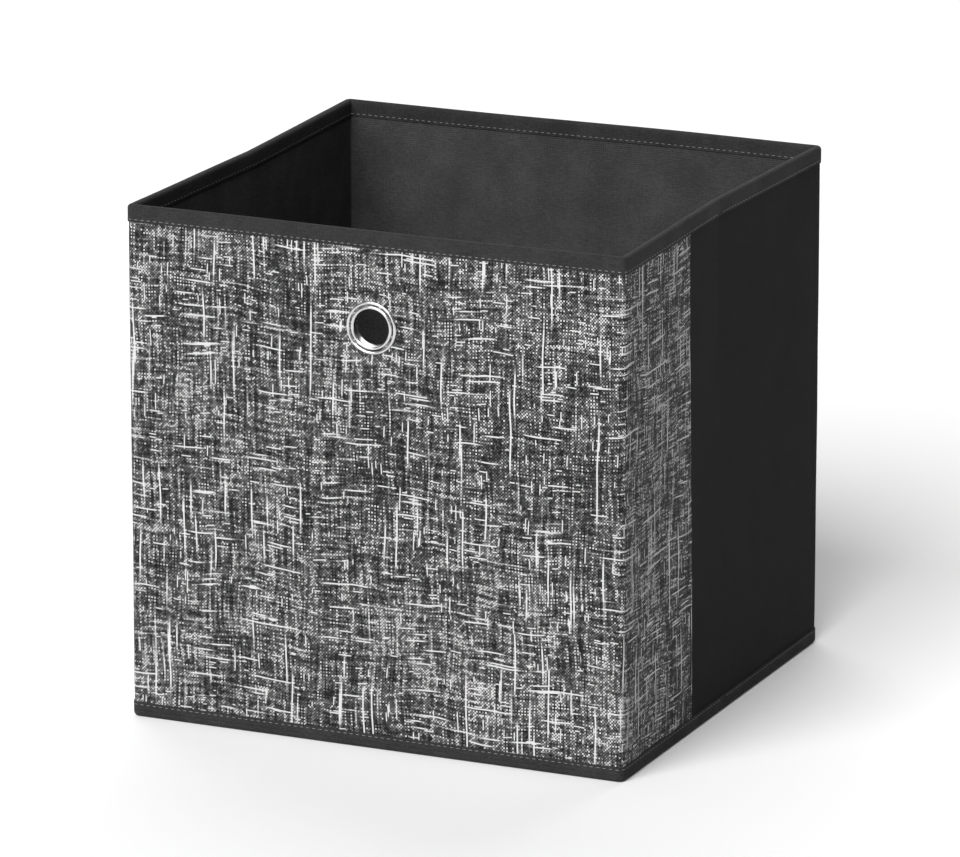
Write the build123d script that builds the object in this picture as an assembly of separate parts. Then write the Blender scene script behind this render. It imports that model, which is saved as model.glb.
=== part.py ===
from build123d import *

import os

# Collapsible fabric storage bin: an open cube of six stiffened wall panels on a fabric bottom.
# Each side wall is two panels joined at an upright crease, so the bin folds flat front to back.
# Frame: millimetres, +Z up, origin on the floor under the middle of the bin, front towards -Y.

# Overall size, over the edge binding
width = 300.0
depth = 290.0
height = 296.0

# Sheets that make up one wall, from the outside in
binding_thickness = 0.7
skin_thickness = 0.7
wall_board_thickness = 2.2
lining_thickness = 0.7

# Edge binding and print
top_binding_height = 9.5
bottom_binding_height = 4.6
print_wrap_depth = 100.0
corner_radius = 4.2

# Bottom of the bin
bottom_fabric_thickness = 0.8

# Loose base board
base_board_thickness = 2.2
base_cover_thickness = 0.6
base_corner_radius = 3.0

# Eyelet in the front wall
eyelet_hole_diameter = 21.0
eyelet_flange_diameter = 30.0
eyelet_drop = 54.0
eyelet_barrel_thickness = 0.7
eyelet_flange_rise = 1.9
eyelet_groove_width = 1.0
eyelet_groove_depth = 0.7
eyelet_lip_width = 1.9
eyelet_lip_thickness = 0.6
washer_diameter = 28.0
washer_thickness = 0.7

# Clearances
seam_gap = 0.5
crease_gap = 0.6
board_end_gap = 3.0
board_edge_gap = 0.8
lining_end_gap = 0.3
wall_to_hem_gap = 0.2
base_side_gap = 2.0
base_rest_gap = 0.2
base_to_wall_gap = 0.4
eyelet_fit_gap = 0.1
fillet_margin = 0.1

# Derived places
wall_thickness = (
    2 * binding_thickness + skin_thickness + wall_board_thickness + lining_thickness
)
board_outer_face = binding_thickness + skin_thickness
board_inner_face = board_outer_face + wall_board_thickness
lining_face = board_inner_face + lining_thickness
corner_rounding = min(corner_radius, lining_face - fillet_margin)
base_bottom = bottom_fabric_thickness + base_rest_gap
base_board_top = base_bottom + base_board_thickness
base_top = base_board_top + base_cover_thickness
wall_bottom = base_top + base_to_wall_gap
hem_top = wall_bottom - wall_to_hem_gap
skin_bottom = wall_bottom + binding_thickness
skin_top = height - binding_thickness
half_side_length = depth / 2 - wall_thickness - seam_gap - crease_gap / 2
eyelet_center_height = height - eyelet_drop
eyelet_hole_radius = eyelet_hole_diameter / 2
eyelet_barrel_radius = eyelet_hole_radius + eyelet_barrel_thickness
eyelet_cut_radius = eyelet_barrel_radius + eyelet_fit_gap


def slab(left, right, outer, inner, bottom, top, radius=0.0):
    """An upright slab in wall axes; a radius rounds its two outer upright edges."""
    plan = Pos((left + right) / 2, (outer + inner) / 2) * Rectangle(right - left, inner - outer)
    if radius > 0:
        plan = fillet(plan.vertices().sort_by(Axis.Y)[:2], radius)
    return Pos(0, 0, bottom) * extrude(plan, amount=top - bottom)


def binding_cap(length, bottom, top, opening_bottom, opening_top, radius):
    """A folded strip over a wall's edge: a slab less the stretch of wall that it holds."""
    cap = slab(0, length, 0, wall_thickness, bottom, top, radius)
    inner_radius = max(radius - binding_thickness, 0)
    held = slab(
        binding_thickness,
        length - binding_thickness,
        binding_thickness,
        lining_face,
        opening_bottom,
        opening_top,
        inner_radius,
    )
    return cap - held


def wrapped_skin(length):
    """The outer fabric of a full-width wall, turned in over the wall's two rounded ends."""
    outside = slab(
        binding_thickness,
        length - binding_thickness,
        binding_thickness,
        lining_face,
        skin_bottom,
        skin_top,
        corner_rounding - binding_thickness,
    )
    pocket = slab(
        board_outer_face,
        length - board_outer_face,
        board_outer_face,
        lining_face,
        skin_bottom,
        skin_top,
        corner_rounding - board_outer_face,
    )
    return outside - pocket


def flat_skin(start, end):
    """A flat stretch of outer fabric along a side wall."""
    return slab(start, end, binding_thickness, board_outer_face, skin_bottom, skin_top)


def stiffener(length, end_inset):
    """The board inside a wall, short of the wall's ends and edges."""
    inset = end_inset + board_end_gap
    bottom = skin_bottom + board_edge_gap
    top = skin_top - board_edge_gap
    return slab(inset, length - inset, board_outer_face, board_inner_face, bottom, top)


def lining(length, end_inset):
    """The inner fabric of a wall."""
    inset = end_inset + lining_end_gap
    return slab(inset, length - inset, board_inner_face, lining_face, skin_bottom, skin_top)


def edge_bindings(length, radius):
    """The top and bottom binding of one wall."""
    top_start = height - top_binding_height
    bottom_end = wall_bottom + bottom_binding_height
    return {
        "top_binding": binding_cap(length, top_start, height, top_start, skin_top, radius),
        "bottom_binding": binding_cap(
            length, wall_bottom, bottom_end, skin_bottom, bottom_end, radius
        ),
    }


def full_wall():
    """A full-width wall in wall axes: X along it, Y from the outside in."""
    pieces = {
        "skin": wrapped_skin(width),
        "board": stiffener(width, board_outer_face),
        "lining": lining(width, board_outer_face),
    }
    pieces.update(edge_bindings(width, corner_rounding))
    return pieces


def half_side_wall():
    """One of the two panels of a side wall, without its outer fabric."""
    pieces = {
        "board": stiffener(half_side_length, binding_thickness),
        "lining": lining(half_side_length, binding_thickness),
    }
    pieces.update(edge_bindings(half_side_length, 0))
    return pieces


def eyelet_ring():
    """The face of the eyelet with its barrel, about +Z, its flange's back face at Z = 0."""
    barrel_length = lining_face - binding_thickness + washer_thickness
    flange_radius = eyelet_flange_diameter / 2
    flange_width = flange_radius - eyelet_hole_radius
    with BuildSketch(Plane.XZ) as profile:
        with BuildLine():
            start = (eyelet_hole_radius, 0)
            crown = (eyelet_hole_radius + flange_width / 2, eyelet_flange_rise)
            end = (flange_radius, 0)
            ThreePointArc(start, crown, end)
            Line(end, start)
        make_face()
    flange = revolve(profile.sketch, Axis.Z)
    barrel = Pos(0, 0, -barrel_length / 2) * Cylinder(eyelet_barrel_radius, barrel_length)
    lip_radius = eyelet_barrel_radius + eyelet_lip_width
    lip_center = -barrel_length - eyelet_lip_thickness / 2
    lip = Pos(0, 0, lip_center) * Cylinder(lip_radius, eyelet_lip_thickness)
    hole = Cylinder(eyelet_hole_radius, 4 * barrel_length)
    groove_radius = eyelet_hole_radius + flange_width / 2
    groove_ring = Cylinder(groove_radius + eyelet_groove_width / 2, 2 * eyelet_groove_depth)
    groove_core = Cylinder(groove_radius - eyelet_groove_width / 2, 2 * eyelet_groove_depth)
    groove = Pos(0, 0, eyelet_flange_rise) * (groove_ring - groove_core)
    return flange + (barrel + lip - hole) - groove


def eyelet_washer():
    """The flat ring behind the lining, about +Z, its front face at Z = 0."""
    ring = Cylinder(washer_diameter / 2, washer_thickness)
    hole = Cylinder(eyelet_cut_radius, 2 * washer_thickness)
    return Pos(0, 0, -washer_thickness / 2) * (ring - hole)


def bored(piece):
    """A front-wall piece with the eyelet's hole through it."""
    cutter = Cylinder(eyelet_cut_radius, 4 * wall_thickness)
    return piece - Pos(width / 2, 0, eyelet_center_height) * Rot(90, 0, 0) * cutter


def base_plan(inset, bottom, top):
    """A flat slab that fits inside the walls, drawn in from their faces by an inset."""
    size_x = width - 2 * (wall_thickness + base_side_gap + inset)
    size_y = depth - 2 * (wall_thickness + base_side_gap + inset)
    outline = RectangleRounded(size_x, size_y, max(base_corner_radius - inset, 1))
    return Pos(0, 0, bottom) * extrude(outline, amount=top - bottom)


# Where each wall stands in the bin: its axes turned and moved from wall axes
front_place = Pos(-width / 2, -depth / 2, 0)
back_place = Pos(width / 2, depth / 2, 0) * Rot(0, 0, 180)
side_clear = wall_thickness + seam_gap
left_rear_place = Pos(-width / 2, depth / 2 - side_clear, 0) * Rot(0, 0, -90)
left_front_place = Pos(-width / 2, -crease_gap / 2, 0) * Rot(0, 0, -90)
right_rear_place = Pos(width / 2, crease_gap / 2, 0) * Rot(0, 0, 90)
right_front_place = Pos(width / 2, -depth / 2 + side_clear, 0) * Rot(0, 0, 90)

nodes = {}


def place_wall(name, pieces, place):
    """Add a wall's pieces to the bin under the wall's name."""
    for piece_name, piece in pieces.items():
        nodes[f"{name}_{piece_name}"] = place * piece


front_wall = full_wall()
for bored_name in ("skin", "board", "lining"):
    front_wall[bored_name] = bored(front_wall[bored_name])
place_wall("front", front_wall, front_place)
place_wall("back", full_wall(), back_place)

printed_length = print_wrap_depth - side_clear
plain_length = half_side_length - printed_length - seam_gap

for side_name, side_place in (("left_rear", left_rear_place), ("right_rear", right_rear_place)):
    rear_wall = half_side_wall()
    rear_wall["skin"] = flat_skin(binding_thickness, half_side_length - binding_thickness)
    place_wall(side_name, rear_wall, side_place)

# Wall axes run back to front on the left side and front to back on the right
left_wall = half_side_wall()
left_wall["skin"] = flat_skin(binding_thickness, plain_length)
left_wall["print_wrap"] = flat_skin(plain_length + seam_gap, half_side_length - binding_thickness)
place_wall("left_front", left_wall, left_front_place)

right_wall = half_side_wall()
right_wall["print_wrap"] = flat_skin(binding_thickness, printed_length)
right_wall["skin"] = flat_skin(printed_length + seam_gap, half_side_length - binding_thickness)
place_wall("right_front", right_wall, right_front_place)

# The eyelet faces the front: its axis +Z is turned to -Y
eyelet_place = Pos(0, -depth / 2 + binding_thickness, eyelet_center_height) * Rot(90, 0, 0)
washer_place = Pos(0, -depth / 2 + lining_face, eyelet_center_height) * Rot(90, 0, 0)
nodes["eyelet_ring"] = eyelet_place * eyelet_ring()
nodes["eyelet_washer"] = washer_place * eyelet_washer()

# The fabric bottom, and its edge turned up under each wall
bottom_outline = RectangleRounded(width, depth, corner_rounding)
nodes["bottom_fabric"] = extrude(bottom_outline, amount=bottom_fabric_thickness)
side_hem_length = depth - 2 * side_clear
full_hem = slab(0, width, 0, wall_thickness, bottom_fabric_thickness, hem_top, corner_rounding)
side_hem = slab(0, side_hem_length, 0, wall_thickness, bottom_fabric_thickness, hem_top)
nodes["front_bottom_hem"] = front_place * full_hem
nodes["back_bottom_hem"] = back_place * full_hem
nodes["left_bottom_hem"] = left_rear_place * side_hem
nodes["right_bottom_hem"] = right_front_place * side_hem

# The loose base board under its cover, which is turned down over the board's edge
nodes["base_board"] = base_plan(base_cover_thickness, base_bottom, base_board_top)
nodes["base_board_cover"] = base_plan(0, base_bottom, base_top) - nodes["base_board"]

os.makedirs("parts", exist_ok=True)
for node_name, solid in nodes.items():
    export_step(solid, f"parts/{node_name}.step")

print("nodes:", len(nodes))
print("base board top:", base_top, "walls start at:", wall_bottom)
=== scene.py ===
import logging
import math
from dataclasses import dataclass
from enum import Enum
from typing import Sequence

import bmesh
import bpy
from mathutils import Matrix, Vector, noise
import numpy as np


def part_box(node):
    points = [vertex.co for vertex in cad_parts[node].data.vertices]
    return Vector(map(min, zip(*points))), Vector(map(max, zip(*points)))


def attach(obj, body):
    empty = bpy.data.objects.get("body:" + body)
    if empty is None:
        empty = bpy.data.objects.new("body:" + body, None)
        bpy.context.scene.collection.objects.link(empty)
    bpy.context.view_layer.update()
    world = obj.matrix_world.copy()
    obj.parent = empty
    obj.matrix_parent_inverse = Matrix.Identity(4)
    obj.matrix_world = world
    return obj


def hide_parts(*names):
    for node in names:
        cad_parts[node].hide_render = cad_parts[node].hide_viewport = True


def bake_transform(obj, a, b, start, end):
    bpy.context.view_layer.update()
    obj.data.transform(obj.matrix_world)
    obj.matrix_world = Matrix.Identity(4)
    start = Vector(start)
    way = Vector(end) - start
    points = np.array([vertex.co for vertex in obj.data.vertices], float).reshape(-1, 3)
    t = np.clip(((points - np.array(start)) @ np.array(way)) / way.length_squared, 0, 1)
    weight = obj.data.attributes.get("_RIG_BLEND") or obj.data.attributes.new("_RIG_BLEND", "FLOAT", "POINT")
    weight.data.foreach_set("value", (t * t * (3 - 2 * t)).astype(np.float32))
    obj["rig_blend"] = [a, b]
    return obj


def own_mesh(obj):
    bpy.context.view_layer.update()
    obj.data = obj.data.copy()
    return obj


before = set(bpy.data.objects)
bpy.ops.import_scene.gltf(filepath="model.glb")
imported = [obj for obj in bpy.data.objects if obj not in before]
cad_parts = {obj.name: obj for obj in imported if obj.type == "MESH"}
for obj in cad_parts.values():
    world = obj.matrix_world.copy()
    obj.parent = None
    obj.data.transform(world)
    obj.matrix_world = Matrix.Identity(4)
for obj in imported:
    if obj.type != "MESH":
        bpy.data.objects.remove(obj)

LOG = logging.getLogger("storage_bin")
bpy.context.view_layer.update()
MM = 0.001
TINY = 1e-6

Socket = bpy.types.NodeSocket
# An outline: the two distances of each point
Outline = list[tuple[float, float]]
# A cross-section: the depth, height and distance across the flat sheet of each point
Section = list[tuple[float, float, float]]


class Side(Enum):
    """Which way a cloth's face looks."""

    OUT = 1
    IN = -1


class Slot(Enum):
    """The record's material slots."""

    PRINT = "printed_fabric"
    PLAIN = "plain_fabric"
    LINING = "lining_fabric"
    BINDING = "binding_fabric"
    BOARD = "stiffener_board"
    METAL = "polished_eyelet"


def ease(value: float) -> float:
    """Return a smooth step of a share, held between 0 and 1."""
    share = min(max(value, 0.0), 1.0)
    return share * share * (3 - 2 * share)


@dataclass(frozen=True)
class Sizes:
    """The bin's driving sizes in metres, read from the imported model."""

    half_width: float
    half_depth: float
    height: float
    wall: float
    skin_face: float
    board_outer: float
    board_inner: float
    lining_face: float
    wall_bottom: float
    bottom_binding_top: float
    top_binding_low: float
    hem_top: float
    wrap_end: float
    rounding: float = 4.2 * MM

    @classmethod
    def from_frame(cls) -> "Sizes":
        """Read the sizes from the nodes' boxes; the rounding keeps its default.

        Returns:
            Sizes: the sizes of this bin.
        """
        bottom_low, bottom_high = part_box("bottom_fabric")
        rim_low, rim_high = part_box("front_top_binding")
        skin_low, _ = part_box("front_skin")
        board_low, board_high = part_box("front_board")
        _, lining_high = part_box("front_lining")
        foot_low, foot_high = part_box("front_bottom_binding")
        _, hem_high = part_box("front_bottom_hem")
        _, wrap_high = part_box("left_front_print_wrap")
        return cls(
            half_width=bottom_high[0],
            half_depth=bottom_high[1],
            height=rim_high[2],
            wall=rim_high[1] - rim_low[1],
            skin_face=skin_low[1] - rim_low[1],
            board_outer=board_low[1] - rim_low[1],
            board_inner=board_high[1] - rim_low[1],
            lining_face=lining_high[1] - rim_low[1],
            wall_bottom=foot_low[2],
            bottom_binding_top=foot_high[2],
            top_binding_low=rim_low[2],
            hem_top=hem_high[2],
            wrap_end=wrap_high[1],
        )


@dataclass(frozen=True)
class Settling:
    """How the walls of a real bin stand a little out of true.

    Attributes:
        crease_lean: how far the side walls' creases stand in at the rim.
        bow: how far the front and back bulge at their middle.
        rim_wave: how far the rim rises and falls.
        ripple: how far the cloth stands off its board here and there.
        foot: height below which the front and back stay true.
        edge_bow: the bow's share at the foot and the rim.
        rim_scale: how close together the rim's waves are.
        ripple_scale: how close together the ripples are, round the walls and up them.
    """

    crease_lean: float = 4.5 * MM
    bow: float = 1.3 * MM
    rim_wave: float = 0.7 * MM
    ripple: float = 0.35 * MM
    foot: float = 20 * MM
    edge_bow: float = 0.35
    rim_scale: float = 9.0
    ripple_scale: tuple[float, float] = (22.0, 16.0)

    def outward(self, x: float, y: float, z: float, sizes: Sizes) -> float:
        """Return how far the wall at a point stands out from its true plane.

        Args:
            x: place across the bin.
            y: place from front to back.
            z: height.
            sizes: the bin's sizes.

        Returns:
            float: outward distance in metres.
        """
        reach = sizes.half_depth - sizes.wall
        high = ease(z / sizes.height)
        if abs(x) * sizes.half_depth > abs(y) * sizes.half_width:
            share = max(1 - abs(y) / reach, 0.0)
            return -self.crease_lean * share * high
        across = max(1 - (x / (sizes.half_width - sizes.wall)) ** 2, 0.0)
        middle = math.sin(math.pi * min(max(z / sizes.height, 0), 1))
        belly = self.edge_bow + (1 - self.edge_bow) * middle
        return self.bow * across * belly * min(z / self.foot, 1)

    def upward(self, x: float, y: float, z: float, sizes: Sizes) -> float:
        """Return how far the rim wave lifts a point, which fades out below the rim."""
        wave = noise.noise(Vector((x * self.rim_scale, y * self.rim_scale, 3.7)))
        return self.rim_wave * wave * ease(z / sizes.height) ** 2

    def stand_off(self, x: float, y: float, z: float) -> float:
        """Return how far the cloth stands off its board, from 0 to the ripple."""
        flat, up = self.ripple_scale
        wave = noise.noise(Vector((x * flat, y * flat, z * up)))
        return self.ripple * (0.5 + 0.5 * wave)


class Ring:
    """The bin's walls in plan, as one path that starts at the right wall's crease.

    The path runs forwards along the right wall, over the front, back along the left wall and over
    the back. A place on it is a distance along the outer face, and a depth goes in through the
    wall. No layer of a corner is rounded by less than tightest, and a corner has corner_steps.
    """

    tightest = 0.6 * MM
    corner_steps = 8

    def __init__(self, sizes: Sizes, settling: Settling) -> None:
        """Lay the path out.

        Args:
            sizes: the bin's sizes.
            settling: how the walls stand out of true.
        """
        self.sizes = sizes
        self.settling = settling
        self.side_run = sizes.half_depth - sizes.rounding
        self.front_run = 2 * (sizes.half_width - sizes.rounding)
        self.arc = math.pi / 2 * sizes.rounding
        lengths = [
            self.side_run,
            self.arc,
            self.front_run,
            self.arc,
            2 * self.side_run,
            self.arc,
            self.front_run,
            self.arc,
            self.side_run,
        ]
        self.marks = [0.0]
        for length in lengths:
            self.marks.append(self.marks[-1] + length)
        self.total = self.marks[-1]

    def plan(self, place: float, depth: float) -> tuple[Vector, Vector]:
        """Find a point of the wall in plan, before it settles.

        Args:
            place: distance along the outer face.
            depth: distance in from the outer face.

        Returns:
            tuple[Vector, Vector]: the point and the outward direction, both flat.
        """
        sizes = self.sizes
        radius = max(sizes.rounding - depth, self.tightest)
        across = sizes.half_width - depth - radius
        along = sizes.half_depth - depth - radius
        part = 0
        while part < 8 and place > self.marks[part + 1]:
            part += 1
        share = (place - self.marks[part]) / (self.marks[part + 1] - self.marks[part])
        share = min(max(share, 0.0), 1.0)
        corners = {1: (1, -1, 0), 3: (-1, -1, -90), 5: (-1, 1, 180), 7: (1, 1, 90)}
        if part in corners:
            side_x, side_y, first = corners[part]
            angle = math.radians(first - 90 * share)
            out = Vector((math.cos(angle), math.sin(angle), 0))
            return Vector((side_x * across, side_y * along, 0)) + out * radius, out
        if part == 0:
            return Vector((across + radius, -along * share, 0)), Vector((1, 0, 0))
        if part == 2:
            x = across * (1 - 2 * share)
            return Vector((x, -along - radius, 0)), Vector((0, -1, 0))
        if part == 4:
            y = along * (2 * share - 1)
            return Vector((-across - radius, y, 0)), Vector((-1, 0, 0))
        if part == 6:
            x = across * (2 * share - 1)
            return Vector((x, along + radius, 0)), Vector((0, 1, 0))
        return Vector((across + radius, along * (1 - share), 0)), Vector((1, 0, 0))

    def point(self, place: float, depth: float, height: float, loose: float = 0.0) -> Vector:
        """Find a point of the settled wall.

        Args:
            place: distance along the outer face.
            depth: distance in from the outer face.
            height: height above the floor.
            loose: how much of the cloth's stand-off this point takes, negative on a lining.

        Returns:
            Vector: the point.
        """
        flat, out = self.plan(place, depth)
        shift = self.settling.outward(flat.x, flat.y, height, self.sizes)
        shift += loose * self.settling.stand_off(flat.x, flat.y, height)
        lift = self.settling.upward(flat.x, flat.y, height, self.sizes)
        return flat + out * shift + Vector((0, 0, height + lift))

    def stations(self, start: float, end: float, step: float) -> list[float]:
        """Divide a stretch of the path, finely round the corners.

        Args:
            start: where the stretch starts.
            end: where it ends.
            step: the longest step on a straight run.

        Returns:
            list[float]: places along the path.
        """
        places = [start]
        for low, high in zip(self.marks, self.marks[1:]):
            first, last = max(low, start), min(high, end)
            if last - first < TINY:
                continue
            rounded = abs((high - low) - self.arc) < TINY
            longest = self.arc / self.corner_steps if rounded else step
            count = max(1, math.ceil((last - first) / longest))
            for index in range(count):
                places.append(first + (last - first) * (index + 1) / count)
        return places


class Places:
    """The named places along the ring where cloths start, end and bend."""

    past_corner = 5 * MM
    from_corner = 60 * MM

    def __init__(self, ring: Ring) -> None:
        """Work the places out.

        Args:
            ring: the ring of walls.
        """
        sizes = ring.sizes
        wrap = sizes.wrap_end + sizes.half_depth
        marks = ring.marks
        self.right_crease = 0.0
        self.right_wrap_end = marks[1] - (wrap - sizes.rounding)
        self.front_right = marks[2] + self.past_corner
        self.left_wrap_end = marks[4] + (wrap - sizes.rounding)
        self.left_rear = marks[5] - self.from_corner
        self.back_right = marks[7] - self.from_corner
        self.right_rear_crease = ring.total


@dataclass(frozen=True)
class Bend:
    """Cloth that turns across one joint, from one body to the other."""

    first: str
    second: str
    start: tuple[float, float, float]
    end: tuple[float, float, float]


class Bends:
    """The joints that cloth crosses, each with how far from it the cloth bends."""

    reach = 9 * MM

    def __init__(self, sizes: Sizes) -> None:
        """Place each bend at its joint.

        Args:
            sizes: the bin's sizes.
        """
        x, y, reach = sizes.half_width, sizes.half_depth, self.reach
        self.front_right = Bend("right_front", "front", (x, -y + reach, 0), (x - reach, -y, 0))
        self.front_left = Bend("front", "left_front", (-x + reach, -y, 0), (-x, -y + reach, 0))
        self.left_crease = Bend("left_front", "left_rear", (-x, -reach, 0), (-x, reach, 0))
        self.back_left = Bend("left_rear", "back", (-x, y - reach, 0), (-x + reach, y, 0))
        self.back_right = Bend("back", "right_rear", (x - reach, y, 0), (x, y - reach, 0))


class Graph:
    """A small helper that adds shader nodes to one material."""

    def __init__(self, name: str) -> None:
        """Start an empty material with a Principled shader.

        Args:
            name: the material's name.
        """
        self.material = bpy.data.materials.new(name)
        self.material.use_nodes = True
        self.tree = self.material.node_tree
        self.tree.nodes.clear()
        output = self.tree.nodes.new("ShaderNodeOutputMaterial")
        self.shader = self.tree.nodes.new("ShaderNodeBsdfPrincipled")
        self.join(self.shader.outputs["BSDF"], output.inputs["Surface"])

    def join(self, source: Socket, target: Socket) -> None:
        """Link one socket to another."""
        self.tree.links.new(source, target)

    def feed(self, target: Socket, value: object) -> None:
        """Link or set a socket, whichever the value is."""
        if isinstance(value, Socket):
            self.join(value, target)
        else:
            target.default_value = value

    def math(self, operation: str, first: object, second: object = 0.0) -> Socket:
        """Add a Math node.

        Args:
            operation: the node's operation.
            first: first value or socket.
            second: second value or socket.

        Returns:
            Socket: the result.
        """
        node = self.tree.nodes.new("ShaderNodeMath")
        node.operation = operation
        self.feed(node.inputs[0], first)
        self.feed(node.inputs[1], second)
        return node.outputs[0]

    def swing(self, value: Socket, share: float) -> Socket:
        """Turn a value about 0.5 into a swing about 0, of the given size."""
        return self.math("MULTIPLY", self.math("SUBTRACT", value, 0.5), share)

    def total(self, values: Sequence[object]) -> Socket:
        """Add several values or sockets up."""
        found = values[0]
        for value in values[1:]:
            found = self.math("ADD", found, value)
        return found

    def split(self, vector: Socket) -> tuple[Socket, Socket]:
        """Return a coordinate's X and Y."""
        node = self.tree.nodes.new("ShaderNodeSeparateXYZ")
        self.join(vector, node.inputs["Vector"])
        return node.outputs["X"], node.outputs["Y"]

    def pair(self, first: Socket, second: Socket) -> Socket:
        """Make a coordinate of an X and a Y."""
        node = self.tree.nodes.new("ShaderNodeCombineXYZ")
        self.join(first, node.inputs["X"])
        self.join(second, node.inputs["Y"])
        return node.outputs["Vector"]

    def stretch(
        self,
        vector: Socket,
        scale: Sequence[float],
        move: Sequence[float] = (0, 0, 0),
    ) -> Socket:
        """Scale and move a coordinate.

        Args:
            vector: the coordinate.
            scale: scale along each axis.
            move: offset along each axis.

        Returns:
            Socket: the new coordinate.
        """
        node = self.tree.nodes.new("ShaderNodeMapping")
        self.join(vector, node.inputs["Vector"])
        node.inputs["Scale"].default_value = scale
        node.inputs["Location"].default_value = move
        return node.outputs["Vector"]

    def cloud(self, vector: Socket, detail: float = 2.0, rough: float = 0.5) -> Socket:
        """Add a noise.

        Args:
            vector: the coordinate, one feature to a unit.
            detail: octaves.
            rough: strength of the finer octaves.

        Returns:
            Socket: the noise, about 0.5.
        """
        node = self.tree.nodes.new("ShaderNodeTexNoise")
        node.noise_dimensions = "3D"
        self.join(vector, node.inputs["Vector"])
        node.inputs["Scale"].default_value = 1.0
        node.inputs["Detail"].default_value = detail
        node.inputs["Roughness"].default_value = rough
        return node.outputs[0]

    def spread(
        self,
        value: Socket,
        low: float,
        high: float,
        to_low: float = 0.0,
        to_high: float = 1.0,
    ) -> Socket:
        """Map one range onto another, held at its ends.

        Args:
            value: the socket to map.
            low: value that becomes to_low.
            high: value that becomes to_high.
            to_low: result at low.
            to_high: result at high.

        Returns:
            Socket: the mapped value.
        """
        node = self.tree.nodes.new("ShaderNodeMapRange")
        self.feed(node.inputs["Value"], value)
        node.inputs["From Min"].default_value = low
        node.inputs["From Max"].default_value = high
        node.inputs["To Min"].default_value = to_low
        node.inputs["To Max"].default_value = to_high
        return node.outputs["Result"]

    def ramp(self, value: Socket, stops: Sequence[tuple[float, float]]) -> Socket:
        """Turn a value into a grey by a ramp.

        Args:
            value: the socket to read.
            stops: position and linear grey of each stop.

        Returns:
            Socket: the colour.
        """
        node = self.tree.nodes.new("ShaderNodeValToRGB")
        self.join(value, node.inputs["Fac"])
        elements = node.color_ramp.elements
        while len(elements) < len(stops):
            elements.new(1.0)
        for element, (position, grey) in zip(elements, stops):
            element.position = position
            element.color = (grey, grey, grey, 1)
        return node.outputs["Color"]

    def bump(self, height: Socket, depth: float, strength: float) -> Socket:
        """Add a bump.

        Args:
            height: the height socket, 0 to 1.
            depth: the height's size in metres.
            strength: the bump's strength.

        Returns:
            Socket: the normal.
        """
        node = self.tree.nodes.new("ShaderNodeBump")
        node.inputs["Strength"].default_value = strength
        node.inputs["Distance"].default_value = depth
        self.join(height, node.inputs["Height"])
        return node.outputs["Normal"]

    def coordinate(self, kind: str) -> Socket:
        """Return a texture coordinate by its name."""
        return self.tree.nodes.new("ShaderNodeTexCoord").outputs[kind]

    def dress(
        self, colour: Socket, roughness: float, sheen: float = 0.0, gloss: float = 0.5
    ) -> None:
        """Give the shader its colour and its finish.

        Args:
            colour: the colour.
            roughness: how matt it is.
            sheen: how much its fibres catch the light at the edges.
            gloss: strength of its plain reflection.
        """
        self.join(colour, self.shader.inputs["Base Color"])
        self.shader.inputs["Roughness"].default_value = roughness
        self.shader.inputs["Sheen Weight"].default_value = sheen
        self.shader.inputs["Specular IOR Level"].default_value = gloss


@dataclass(frozen=True)
class Threads:
    """Printed threads that lie side by side, lighter and darker along their length.

    Attributes:
        upright: whether they run up the cloth.
        length: how long a light or dark stretch is.
        seed: offset of the pattern.
        share: the strength of their tone in the weave.
        width: their width as a share of a plain thread.
        faint: the tone where a slub starts to show.
    """

    upright: bool
    length: float
    seed: float
    share: float = 1.0
    width: float = 1.0
    faint: float = 0.632


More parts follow.
